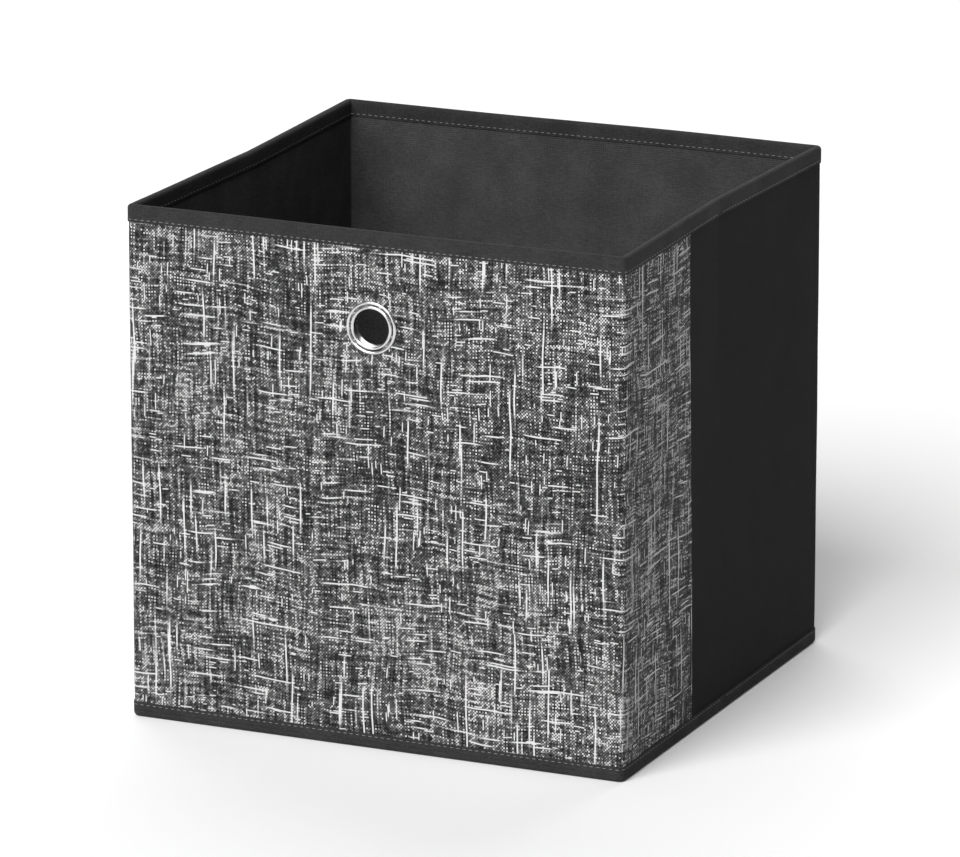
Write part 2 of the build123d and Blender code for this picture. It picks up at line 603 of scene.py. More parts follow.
@dataclass(frozen=True)
class PrintedLinen:
    """A matt cloth printed with a slubby, two-way thread pattern in greys.

    Attributes:
        name: the material's name.
        thread: width of one printed thread.
        jump: how far one thread's pattern lies from the next one's.
        weave: the threads that show all over, up the cloth and along it.
        slubs: the pale threads that stand out here and there.
        slub_full: the tone where a slub is at its palest.
        slub_cover: how far a slub hides the weave.
        slub_tone: a slub's own tone.
        base: the weave's mean tone.
        grain: how much the crossings differ from each other.
        check: how much the crossing threads differ in turn.
        patches: strength of the small light and dark patches.
        broad: strength of the broad light and dark areas.
        greys: tone and linear grey of each stop.
        sway: how far the threads wander, up the cloth and along it.
        roughness: how matt the cloth is.
        sheen: its sheen.
        gloss: strength of its plain reflection.
        relief: how far the threads stand out.
    """

    name: str = "printed_linen"
    thread: float = 0.9 * MM
    jump: float = 5.37
    weave: tuple[Threads, Threads] = (
        Threads(True, 30 * MM, 11.3, share=1.9),
        Threads(False, 22 * MM, 47.9, share=1.75),
    )
    slubs: tuple[Threads, ...] = (
        Threads(True, 85 * MM, 83.1),
        Threads(False, 42 * MM, 129.7, width=0.85),
        Threads(True, 20 * MM, 183.1, width=0.7, faint=0.68),
        Threads(False, 14 * MM, 229.7, width=0.7, faint=0.68),
    )
    slub_full: float = 0.705
    slub_cover: float = 0.98
    slub_tone: float = 1.12
    base: float = 0.26
    grain: float = 0.58
    check: float = 0.7
    patches: float = 0.32
    broad: float = 0.5
    greys: tuple[tuple[float, float], ...] = (
        (0.0, 0.003),
        (0.3, 0.024),
        (0.6, 0.088),
        (0.85, 0.22),
        (1.0, 0.52),
    )
    sway: tuple[float, float] = (4.5 * MM, 11 * MM)
    roughness: float = 0.85
    sheen: float = 0.04
    gloss: float = 0.2
    relief: float = 0.1 * MM

    def threads(self, graph: Graph, u: Socket, v: Socket, kind: Threads) -> Socket:
        """Draw one kind of thread.

        Args:
            graph: the material's graph.
            u: distance along the wall.
            v: distance up the wall.
            kind: the threads.

        Returns:
            Socket: the threads' tone, about 0.5.
        """
        across, along = (u, v) if kind.upright else (v, u)
        number = graph.math("FLOOR", graph.math("DIVIDE", across, self.thread * kind.width))
        offset = graph.math("ADD", graph.math("MULTIPLY", number, self.jump), kind.seed)
        return graph.cloud(graph.pair(offset, graph.math("DIVIDE", along, kind.length)), 1.0)

    def crossings(self, graph: Graph, u: Socket, v: Socket) -> tuple[Socket, Socket]:
        """Give every crossing of two threads its own tone, and say which thread is on top.

        Args:
            graph: the material's graph.
            u: distance along the wall.
            v: distance up the wall.

        Returns:
            tuple[Socket, Socket]: the tone, from 0 to 1, and 1 where the upright thread is on
            top, else 0.
        """
        columns = graph.math("FLOOR", graph.math("DIVIDE", u, self.thread))
        rows = graph.math("FLOOR", graph.math("DIVIDE", v, self.thread))
        grain = graph.tree.nodes.new("ShaderNodeTexWhiteNoise")
        grain.noise_dimensions = "2D"
        graph.join(graph.pair(columns, rows), grain.inputs["Vector"])
        over = graph.math("FLOORED_MODULO", graph.math("ADD", columns, rows), 2.0)
        return grain.outputs["Value"], over

    def make(self) -> bpy.types.Material:
        """Build the material.

        Returns:
            bpy.types.Material: the finished cloth.
        """
        graph = Graph(self.name)
        uv = graph.coordinate("UV")
        straight_u, straight_v = graph.split(uv)
        sway_u = graph.cloud(graph.stretch(uv, (14, 22, 1), (3, 1, 0)), 1.0)
        sway_v = graph.cloud(graph.stretch(uv, (17, 9, 1), (6, 4, 0)))
        u = graph.math("ADD", straight_u, graph.math("MULTIPLY", sway_u, self.sway[0]))
        v = graph.math("ADD", straight_v, graph.math("MULTIPLY", sway_v, self.sway[1]))
        patches = graph.cloud(graph.stretch(uv, (42, 34, 1), (5, 2, 0)), 2.0, 0.6)
        broad = graph.cloud(graph.stretch(uv, (11, 9, 1), (1, 7, 0)), 1.0)
        weave = [self.threads(graph, u, v, kind) for kind in self.weave]
        grain, over = self.crossings(graph, u, v)
        parts = [graph.swing(grain, self.grain), graph.swing(over, self.check)]
        parts += [graph.swing(tone, kind.share) for tone, kind in zip(weave, self.weave)]
        parts += [graph.swing(patches, self.patches), graph.swing(broad, self.broad), self.base]
        tone = graph.total(parts)
        for kind in self.slubs:
            slub = graph.spread(self.threads(graph, u, v, kind), kind.faint, self.slub_full)
            cover = graph.math("MULTIPLY", slub, self.slub_cover)
            lift = graph.math("MULTIPLY", cover, graph.math("SUBTRACT", self.slub_tone, tone))
            tone = graph.math("ADD", tone, lift)
        graph.dress(graph.ramp(tone, self.greys), self.roughness, self.sheen, self.gloss)
        height = graph.total([graph.math("MULTIPLY", grain, 0.5), *weave])
        graph.join(graph.bump(height, self.relief, 0.5), graph.shader.inputs["Normal"])
        return graph.material


@dataclass(frozen=True)
class NonWoven:
    """A felted synthetic cloth with a fine embossed grid.

    Attributes:
        name: the material's name.
        grey: its linear grey.
        emboss: pitch of the embossed points.
        fibre: strength of the fine fibres in its tone.
        strand: strength of the long strands.
        drift: strength of the broad cloudiness.
        dimple: how much darker the embossed points are.
        press: how deep they are, as a share of the fibres' relief.
        roughness: how matt the cloth is.
        sheen: its sheen.
        gloss: strength of its plain reflection.
        relief: how far the fibres stand out.
    """

    name: str
    grey: float
    emboss: float = 1.7 * MM
    fibre: float = 0.45
    strand: float = 0.3
    drift: float = 0.4
    dimple: float = 0.2
    press: float = 0.9
    roughness: float = 0.8
    sheen: float = 0.015
    gloss: float = 0.08
    relief: float = 0.26 * MM

    def points(self, graph: Graph, uv: Socket) -> Socket:
        """Lay the embossed points out on the slant.

        Args:
            graph: the material's graph.
            uv: the flat cloth's coordinate.

        Returns:
            Socket: 1 in a point, 0 between them.
        """
        turned = graph.tree.nodes.new("ShaderNodeMapping")
        graph.join(uv, turned.inputs["Vector"])
        turned.inputs["Rotation"].default_value = (0, 0, math.radians(45))
        turns = 2 * math.pi / self.emboss
        rows, columns = (
            graph.math("SINE", graph.math("MULTIPLY", way, turns))
            for way in graph.split(turned.outputs["Vector"])
        )
        return graph.spread(graph.math("MULTIPLY", rows, columns), 0.2, 0.75)

    def make(self) -> bpy.types.Material:
        """Build the material.

        Returns:
            bpy.types.Material: the finished cloth.
        """
        graph = Graph(self.name)
        uv = graph.coordinate("UV")
        points = self.points(graph, uv)
        fibre = graph.cloud(graph.stretch(uv, (900, 520, 1)), 3.0, 0.7)
        strand = graph.cloud(graph.stretch(uv, (210, 1300, 1), (4, 9, 0)), 2.0, 0.6)
        drift = graph.cloud(graph.stretch(uv, (34, 27, 1)), 3.0, 0.6)
        clouds = ((fibre, self.fibre), (strand, self.strand), (drift, self.drift))
        tone = graph.total([graph.math("MULTIPLY", cloud, share) for cloud, share in clouds])
        tone = graph.math("SUBTRACT", tone, graph.math("MULTIPLY", points, self.dimple))
        greys = ((0.28, self.grey * 0.45), (0.52, self.grey), (0.76, self.grey * 1.9))
        graph.dress(graph.ramp(tone, greys), self.roughness, self.sheen, self.gloss)
        height = graph.math("SUBTRACT", fibre, graph.math("MULTIPLY", points, self.press))
        graph.join(graph.bump(height, self.relief, 0.8), graph.shader.inputs["Normal"])
        return graph.material


@dataclass(frozen=True)
class PressedBoard:
    """Raw grey-brown board with flecks, between a dark and a pale colour."""

    name: str = "pressed_board"
    dark: tuple[float, float, float, float] = (0.2, 0.15, 0.1, 1)
    pale: tuple[float, float, float, float] = (0.46, 0.38, 0.29, 1)
    roughness: float = 0.88
    relief: float = 0.1 * MM

    def make(self) -> bpy.types.Material:
        """Build the material.

        Returns:
            bpy.types.Material: the finished board.
        """
        graph = Graph(self.name)
        place = graph.coordinate("Object")
        flecks = graph.cloud(graph.stretch(place, (900, 900, 350)), 3.0, 0.65)
        tone = graph.tree.nodes.new("ShaderNodeValToRGB")
        graph.join(flecks, tone.inputs["Fac"])
        stops = ((0.3, self.dark), (0.7, self.pale))
        for element, (position, colour) in zip(tone.color_ramp.elements, stops):
            element.position = position
            element.color = colour
        graph.dress(tone.outputs["Color"], self.roughness)
        graph.join(graph.bump(flecks, self.relief, 0.3), graph.shader.inputs["Normal"])
        return graph.material


@dataclass(frozen=True)
class PolishedMetal:
    """Bright plated metal with faint rub marks, from its smoothest to its roughest."""

    name: str = "polished_plate"
    grey: float = 0.7
    smoothest: float = 0.2
    roughest: float = 0.28

    def make(self) -> bpy.types.Material:
        """Build the material.

        Returns:
            bpy.types.Material: the finished metal.
        """
        graph = Graph(self.name)
        place = graph.coordinate("Object")
        rubs = graph.cloud(graph.stretch(place, (260, 900, 260)))
        tone = graph.ramp(rubs, ((0.3, self.grey * 0.93), (0.7, self.grey)))
        graph.join(tone, graph.shader.inputs["Base Color"])
        graph.shader.inputs["Metallic"].default_value = 1.0
        rough = graph.spread(rubs, 0.3, 0.7, self.smoothest, self.roughest)
        graph.join(rough, graph.shader.inputs["Roughness"])
        return graph.material


@dataclass(frozen=True)
class SpunThread:
    """Pale twisted sewing thread."""

    name: str = "spun_thread"
    grey: float = 0.15
    roughness: float = 0.6
    sheen: float = 0.1

    def make(self) -> bpy.types.Material:
        """Build the material.

        Returns:
            bpy.types.Material: the finished thread.
        """
        graph = Graph(self.name)
        place = graph.coordinate("Object")
        twist = graph.cloud(graph.stretch(place, (2400, 2400, 2400)))
        tone = graph.ramp(twist, ((0.3, self.grey * 0.55), (0.7, self.grey * 1.3)))
        graph.dress(tone, self.roughness, self.sheen)
        return graph.material


@dataclass(frozen=True)
class StudioPaper:
    """The plain pale sweep that the bin stands on."""

    name: str = "studio_paper"
    grey: float = 0.87
    roughness: float = 0.9

    def make(self) -> bpy.types.Material:
        """Build the material.

        Returns:
            bpy.types.Material: the finished paper.
        """
        graph = Graph(self.name)
        mottle = graph.cloud(graph.stretch(graph.coordinate("Object"), (3, 3, 3)))
        tone = graph.ramp(mottle, ((0.3, self.grey * 0.985), (0.7, self.grey)))
        graph.dress(tone, self.roughness)
        return graph.material


class Finishes:
    """Every finish of the bin, built once."""

    def __init__(self) -> None:
        """Build the materials."""
        self.print = PrintedLinen().make()
        # The plain felt's grey is its own dark grey, made darker still than the lining and binding felt:
        # partly painted shade, standing in for the shade on the walls it covers.
        self.plain = NonWoven("plain_felt_and_painted_shade", 0.0065).make()
        self.lining = NonWoven("lining_felt", 0.038).make()
        self.binding = NonWoven("binding_felt", 0.024, 1.4 * MM).make()
        self.board = PressedBoard().make()
        self.metal = PolishedMetal().make()
        self.thread = SpunThread().make()
        self.paper = StudioPaper().make()


def flat_layers(
    form: bmesh.types.BMesh,
) -> tuple[bmesh.types.BMLayerItem, bmesh.types.BMLayerItem]:
    """Add the two layers that hold each point's place on the flat cloth."""
    layers = form.verts.layers.float
    return layers.new("cloth_u"), layers.new("cloth_v")


def spread_flat(form: bmesh.types.BMesh) -> None:
    """Write each point's place on the flat cloth into the UV map."""
    flat_u, flat_v = (form.verts.layers.float[name] for name in ("cloth_u", "cloth_v"))
    layer = form.loops.layers.uv.new("UVMap")
    for face in form.faces:
        for loop in face.loops:
            loop[layer].uv = (loop.vert[flat_u], loop.vert[flat_v])


def declare(piece: bpy.types.Object, nodes: Sequence[str] = ()) -> None:
    """Hide the CAD nodes that a piece stands for, and report it.

    Args:
        piece: the piece.
        nodes: the CAD nodes.
    """
    if nodes:
        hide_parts(*nodes)
    LOG.info("%s: %d faces", piece.name, len(piece.data.polygons))


def as_object(name: str, form: bmesh.types.BMesh, finish: bpy.types.Material) -> bpy.types.Object:
    """Turn a bmesh into a smooth-shaded object with sharp creases kept.

    Args:
        name: the piece's name.
        form: the mesh, which is freed.
        finish: its material.

    Returns:
        bpy.types.Object: the piece, at the origin.
    """
    sharp = math.radians(38)
    for face in form.faces:
        face.smooth = True
    for edge in form.edges:
        if len(edge.link_faces) == 2 and edge.calc_face_angle(0) > sharp:
            edge.smooth = False
    mesh = bpy.data.meshes.new(name)
    form.to_mesh(mesh)
    form.free()
    mesh.materials.append(finish)
    piece = bpy.data.objects.new(name, mesh)
    bpy.context.scene.collection.objects.link(piece)
    return piece


@dataclass(frozen=True)
class Hole:
    """A round hole through a wall, where the eyelet sits."""

    place: float
    height: float
    radius: float

    def distance(self, place: float, height: float) -> float:
        """Return how far a point of the flat cloth is from the hole's middle."""
        return math.hypot(place - self.place, height - self.height)


@dataclass
class Cloth:
    """A sheet of cloth or board laid along the ring of walls.

    Attributes:
        name: the piece's name.
        start: where along the ring it starts.
        end: where it ends.
        profile: its cross-section, as depth, height and distance across the flat sheet.
        side: which way its face looks.
        thickness: its thickness.
        finish: its material.
        loose: how much of the cloth's stand-off it takes.
        step: longest step along the ring.
        hole: the eyelet's hole, where the sheet has one.
        fade: how many rows the stand-off takes to fade out towards an edge.
    """

    name: str
    start: float
    end: float
    profile: Section
    side: Side
    thickness: float
    finish: bpy.types.Material
    loose: float = 0.0
    step: float = 4.5 * MM
    hole: Hole | None = None
    fade: int = 3

    def build(self, ring: Ring) -> bpy.types.Object:
        """Make the sheet.

        Args:
            ring: the ring of walls.

        Returns:
            bpy.types.Object: the piece.
        """
        places = ring.stations(self.start, self.end, self.step)
        columns, rows = len(places) - 1, len(self.profile) - 1
        form = bmesh.new()
        bmesh.ops.create_grid(form, x_segments=columns, y_segments=rows, size=0.5)
        flat_u, flat_v = flat_layers(form)
        for vertex in form.verts:
            column = round((vertex.co.x + 0.5) * columns)
            row = round((vertex.co.y + 0.5) * rows)
            depth, height, across = self.profile[row]
            free = min(min(row, rows - row) / self.fade, 1.0)
            vertex.co = ring.point(places[column], depth, height, self.loose * free)
            vertex[flat_u] = places[column]
            vertex[flat_v] = across
        if self.hole is not None and self.start < self.hole.place < self.end:
            self.pierce(form, ring)
        self.face_way(form)
        bmesh.ops.solidify(form, geom=form.faces[:], thickness=self.thickness)
        spread_flat(form)
        return as_object(self.name, form, self.finish)

    def pierce(self, form: bmesh.types.BMesh, ring: Ring) -> None:
        """Open the eyelet's hole and draw its edge onto a circle.

        Args:
            form: the flat sheet's mesh, still without thickness.
            ring: the ring of walls.
        """
        hole = self.hole
        flat_u, flat_v = (form.verts.layers.float[name] for name in ("cloth_u", "cloth_v"))
        inside = []
        for face in form.faces:
            away = [hole.distance(vertex[flat_u], vertex[flat_v]) for vertex in face.verts]
            if sum(away) / len(away) < hole.radius:
                inside.append(face)
        rim = {edge for face in inside for edge in face.edges}
        rim = {edge for edge in rim if any(face not in inside for face in edge.link_faces)}
        edge_verts = {vertex for edge in rim for vertex in edge.verts}
        bmesh.ops.delete(form, geom=inside, context="FACES")
        depth = self.profile[len(self.profile) // 2][0]
        for vertex in edge_verts:
            away = hole.distance(vertex[flat_u], vertex[flat_v])
            share = hole.radius / max(away, TINY)
            vertex[flat_u] = hole.place + (vertex[flat_u] - hole.place) * share
            vertex[flat_v] = hole.height + (vertex[flat_v] - hole.height) * share
            vertex.co = ring.point(vertex[flat_u], depth, vertex[flat_v], self.loose)

    def face_way(self, form: bmesh.types.BMesh) -> None:
        """Turn the faces so that they look out of the wall, or into the bin on a lining."""
        form.normal_update()
        turned = 0.0
        for face in form.faces:
            centre = face.calc_center_median()
            turned += face.calc_area() * (face.normal.x * centre.x + face.normal.y * centre.y)
        if turned * self.side.value < 0:
            bmesh.ops.reverse_faces(form, faces=form.faces[:])
            form.normal_update()


@dataclass(frozen=True)
class Span:
    """A stretch of the walls that one piece of each cloth covers.

    Attributes:
        name: the stretch's name.
        start: where along the ring it starts.
        end: where it ends.
        bend: the joint that it turns across.
        walls: the walls that its pieces stand for.
    """

    name: str
    start: float
    end: float
    bend: Bend
    walls: tuple[str, ...]

    def nodes(self, kind: str) -> tuple[str, ...]:
        """Name the CAD nodes of one kind on this stretch's walls."""
        return tuple(f"{wall}_{kind}" for wall in self.walls)

    def hang(self, piece: bpy.types.Object) -> None:
        """Make a piece turn with the two bodies at this stretch's joint."""
        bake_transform(piece, self.bend.first, self.bend.second, self.bend.start, self.bend.end)


def all_spans(ring: Ring) -> list[Span]:
    """Divide the ring of walls into the stretches that single pieces of cloth cover.

    Args:
        ring: the ring of walls.

    Returns:
        list[Span]: the stretches in order along the ring.
    """
    places, bends = Places(ring), Bends(ring.sizes)
    stops = (
        places.right_crease,
        places.front_right,
        places.left_wrap_end,
        places.left_rear,
        places.back_right,
        places.right_rear_crease,
    )
    rows = (
        ("right_front", bends.front_right, ("right_front",)),
        ("front", bends.front_left, ("front", "left_front")),
        ("left", bends.left_crease, ("left_rear",)),
        ("back", bends.back_left, ("back",)),
        ("right_rear", bends.back_right, ("right_rear",)),
    )
    return [
        Span(name, start, end, bend, walls)
        for (name, bend, walls), start, end in zip(rows, stops, stops[1:])
    ]


def upright(depth: float, low: float, high: float, step: float) -> Section:
    """Return the cross-section of a plain upright sheet.

    Args:
        depth: depth of its face in the wall.
        low: its lower edge.
        high: its upper edge.
        step: longest step up it.

    Returns:
        Section: depth, height and distance across the sheet.
    """
    count = math.ceil((high - low) / step)
    heights = [low + (high - low) * index / count for index in range(count + 1)]
    return [(depth, height, height) for height in heights]


def measured(points: Outline, start: float) -> Section:
    """Add to each point of a cross-section its distance across the flat sheet.

    Args:
        points: depth and height of each point.
        start: the distance at the first point.

    Returns:
        Section: depth, height and distance.
    """
    across, found = start, [(*points[0], start)]
    for before, after in zip(points, points[1:]):
        across += math.dist(before, after)
        found.append((*after, across))
    return found


def arc(
    middle: tuple[float, float], radius: float, first: float, last: float, steps: int
) -> Outline:
    """Return points on an arc of a cross-section.

    Args:
        middle: the arc's middle.
        radius: its radius.
        first: angle of its start in degrees.
        last: angle of its end.
        steps: how many parts it has.

    Returns:
        Outline: the points.
    """
    points = []
    for index in range(steps + 1):
        angle = math.radians(first + (last - first) * index / steps)
        points.append((middle[0] + radius * math.cos(angle), middle[1] + radius * math.sin(angle)))
    return points


@dataclass(frozen=True)
class ClothKind:
    """One kind of cloth on the walls.

    Attributes:
        name: what it is called.
        profile: its cross-section.
        side: which way its face looks.
        finish: its material.
        slot: the record's slot; not used.
        loose: how much of the cloth's stand-off it takes.
    """

    name: str
    profile: Section
    side: Side
    finish: bpy.types.Material
    slot: Slot
    loose: float = 0.0


@dataclass
class WallCloths:
    """The outer cloths, the linings and the edge bindings of the walls.

    Attributes:
        sizes: the bin's sizes.
        finishes: the materials.
        thickness: thickness of each cloth.
        tuck: how far a cloth's edge stays short of the rim, inside the binding.
        rise: how far its lower edge stays above the wall's foot, inside the binding.
        step: longest step up a cloth.
        rim_round: rounding of the rim's folded binding.
        foot_round: rounding of the lower binding.
        crisp: rounding of the lower binding's outer edge.
    """

    sizes: Sizes
    finishes: Finishes
    thickness: float = 0.7 * MM
    tuck: float = 2.6 * MM
    rise: float = 0.9 * MM
    step: float = 5 * MM
    rim_round: float = 2.0 * MM
    foot_round: float = 1.0 * MM
    crisp: float = 0.12 * MM

    def sheet_profile(self, depth: float) -> Section:
        """Return the cross-section of an outer cloth or a lining, by its depth in the wall."""
        low, high = self.sizes.wall_bottom + self.rise, self.sizes.height - self.tuck
        return upright(depth, low, high, self.step)

    def rim_profile(self) -> Section:
        """Return the top binding's cross-section, folded over the rim."""
        wall, top, low = self.sizes.wall, self.sizes.height, self.sizes.top_binding_low
        bend = self.rim_round
        straight = [(0.0, low + (top - bend - low) * share) for share in (0, 0.12, 0.4, 0.7)]
        over = arc((bend, top - bend), bend, 180, 90, 5)
        over += arc((wall - bend, top - bend), bend, 90, 0, 5)
        down = [(wall, height) for _, height in reversed(straight)]
        return measured(straight + over + down, low)

    def foot_profile(self) -> Section:
        """Return the lower binding's cross-section, folded under the wall."""
        wall, low, top = self.sizes.wall, self.sizes.wall_bottom, self.sizes.bottom_binding_top
        bend, crisp = self.foot_round, self.crisp
        down = [(0.0, top - (top - low - bend) * share) for share in (0, 0.2, 0.6)]
        under = [(0.0, low + crisp), (crisp, low)]
        under += arc((wall - bend, low + bend), bend, 270, 360, 3)
        up = [(wall, height) for _, height in reversed(down)]
        return measured(down + under + up, -top)

    def make(
        self,
        ring: Ring,
        span: Span,
        kind: ClothKind,
        nodes: tuple[str, ...],
        hole: Hole | None = None,
    ) -> bpy.types.Object:
        """Make one piece of cloth over one stretch.

        Args:
            ring: the ring of walls.
            span: the stretch.
            kind: what the cloth is.
            nodes: the CAD nodes that it stands for.
            hole: the eyelet's hole.

        Returns:
            bpy.types.Object: the piece.
        """
        cloth = Cloth(
            f"{span.name}_{kind.name}_cloth",
            span.start,
            span.end,
            kind.profile,
            kind.side,
            self.thickness,
            kind.finish,
            kind.loose,
            hole=hole,
        )
        piece = cloth.build(ring)
        declare(piece, nodes)
        return piece

    def build(self, ring: Ring, hole: Hole) -> None:
        """Make every cloth of the walls.

        Args:
            ring: the ring of walls.
            hole: the eyelet's hole.
        """
        places, spans, fin = Places(ring), all_spans(ring), self.finishes
        outer = self.sheet_profile(self.sizes.skin_face)
        lined = self.sheet_profile(self.sizes.lining_face)
        printed = ClothKind("outer", outer, Side.OUT, fin.print, Slot.PRINT, 1.0)
        plain = ClothKind("outer", outer, Side.OUT, fin.plain, Slot.PLAIN, 1.0)
        lining = ClothKind("lining", lined, Side.IN, fin.lining, Slot.LINING, -1.0)
        rim = ClothKind("top_binding", self.rim_profile(), Side.OUT, fin.binding, Slot.BINDING)
        foot = ClothKind("bottom_binding", self.foot_profile(), Side.OUT, fin.binding, Slot.BINDING)
        seam, first = places.right_wrap_end, spans[0]
        wrap = Span("right_wrap", seam, first.end, first.bend, first.walls)
        skins = (
            (wrap, printed, ("right_front_print_wrap",)),
            (spans[1], printed, ("front_skin", "left_front_print_wrap")),
            (spans[2], plain, ("left_front_skin", "left_rear_skin")),
            (spans[3], plain, ("back_skin",)),
            (spans[4], plain, ("right_rear_skin",)),
        )
        for span, (stretch, skin, nodes) in zip(spans, skins):
            span.hang(self.make(ring, stretch, skin, nodes, hole))
            span.hang(self.make(ring, span, lining, span.nodes(lining.name), hole))
            for kind in (rim, foot):
                span.hang(self.make(ring, span, kind, span.nodes(kind.name)))
        bare = Span("right_front", places.right_crease, seam, first.bend, first.walls)
        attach(self.make(ring, bare, plain, ("right_front_skin",)), "right_front")


@dataclass
class WallBoards:
    """The six boards inside the walls.

    Attributes:
        sizes: the bin's sizes.
        finishes: the materials.
        step: longest step along and up a board.
        fine_step: the same on the front board, which has the eyelet's hole.
    """

    sizes: Sizes
    finishes: Finishes
    step: float = 18 * MM
    fine_step: float = 5 * MM

    def build(self, ring: Ring, hole: Hole) -> None:
        """Make the boards, which stand as the cloths round them do.

        Args:
            ring: the ring of walls.
            hole: the eyelet's hole.
        """
        thickness = self.sizes.board_inner - self.sizes.board_outer
        for wall in ("front", "back", "left_rear", "left_front", "right_rear", "right_front"):
            low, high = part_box(f"{wall}_board")
            start, end = self.stretch(ring, wall, low, high)
            step = self.fine_step if wall == "front" else self.step
            profile = upright(self.sizes.board_outer, low.z, high.z, step)
            board = Cloth(
                f"{wall}_board_core",
                start,
                end,
                profile,
                Side.OUT,
                thickness,
                self.finishes.board,
                step=step,
                hole=hole,
            )
            piece = board.build(ring)
            declare(piece, (f"{wall}_board",))
            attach(piece, wall)

    def stretch(self, ring: Ring, wall: str, low: Vector, high: Vector) -> tuple[float, float]:
        """Find a board's ends along the ring.

        Args:
            ring: the ring of walls.
            wall: the wall's name.
            low: the board's lowest corner.
            high: its highest corner.

        Returns:
            tuple[float, float]: where it starts and ends.
        """
        marks, sizes = ring.marks, self.sizes
        if wall == "front":
            middle = marks[2] + sizes.half_width - sizes.rounding
            return middle - high.x, middle - low.x
        if wall == "back":
            middle = (marks[6] + marks[7]) / 2
            return middle + low.x, middle + high.x
        if wall in ("left_rear", "left_front"):
            middle = (marks[4] + marks[5]) / 2
            return middle + low.y, middle + high.y
        if wall == "right_front":
            return -high.y, -low.y
        return ring.total - high.y, ring.total - low.y


@dataclass
class Stitching:
    """Rows of small stitches along the bindings.

    Attributes:
        sizes: the bin's sizes.
        finish: the thread.
        pitch: distance from stitch to stitch.
        length: length of a stitch.
        thread: thickness of the thread.
        sunk: how far the stitches' middles lie below the cloth's face.
        slant: how far a stitch turns out of the row, in radians.
        rim_inset: how far the rim's rows lie above the top binding's edge.
        foot_inset: how far the foot's row lies below the lower binding's edge.
        clear: how far the rows stay from the open crease, where the outer faces fold together.
    """

    sizes: Sizes
    finish: bpy.types.Material
    pitch: float = 3.8 * MM
    length: float = 2.5 * MM
    thread: float = 0.5 * MM
    sunk: float = 0.1 * MM
    slant: float = 0.035
    rim_inset: float = 1.5 * MM
    foot_inset: float = 1.4 * MM
    clear: float = 3.5 * MM

    def row(
        self,
        ring: Ring,
        span: Span,
        name: str,
        depth: float,
        height: float,
    ) -> bpy.types.Object:
        """Sew one row over one stretch.

        Args:
            ring: the ring of walls.
            span: the stretch.
            name: the row's name.
            depth: depth in the wall of the stitches' middles.
            height: height of the row.

        Returns:
            bpy.types.Object: the row of stitches.
        """
        form = bmesh.new()
        count = int((span.end - span.start) / self.pitch)
        for index in range(count):
            place = span.start + (index + 0.5) * (span.end - span.start) / count
            if min(place, ring.total - place) < self.clear:
                continue
            here = ring.point(place, depth, height)
            ahead = ring.point(min(place + self.length / 2, ring.total), depth, height)
            behind = ring.point(max(place - self.length / 2, 0.0), depth, height)
            along = (ahead - behind).normalized()
            sway = self.slant * noise.noise(Vector((place * 400, height * 90, depth * 500)))
            turn = along.to_track_quat("X", "Z").to_matrix().to_4x4()
            size = Matrix.Diagonal((self.length / 2, self.thread / 2, self.thread / 2, 1))
            lay = Matrix.Translation(here) @ (turn @ Matrix.Rotation(sway, 4, "Y")) @ size
            bmesh.ops.create_uvsphere(form, u_segments=6, v_segments=4, radius=1.0, matrix=lay)
        return as_object(name, form, self.finish)

    def build(self, ring: Ring) -> None:
        """Sew the rows of every stretch.

        Args:
            ring: the ring of walls.
        """
        rim = self.sizes.top_binding_low + self.rim_inset
        foot = self.sizes.bottom_binding_top - self.foot_inset
        rows = (
            ("outer_rim_stitches", self.sunk, rim),
            ("inner_rim_stitches", self.sizes.wall - self.sunk, rim),
            ("outer_foot_stitches", self.sunk, foot),
        )
        for span in all_spans(ring):
            for name, depth, height in rows:
                piece = self.row(ring, span, f"{span.name}_{name}", depth, height)
                declare(piece)
                span.hang(piece)


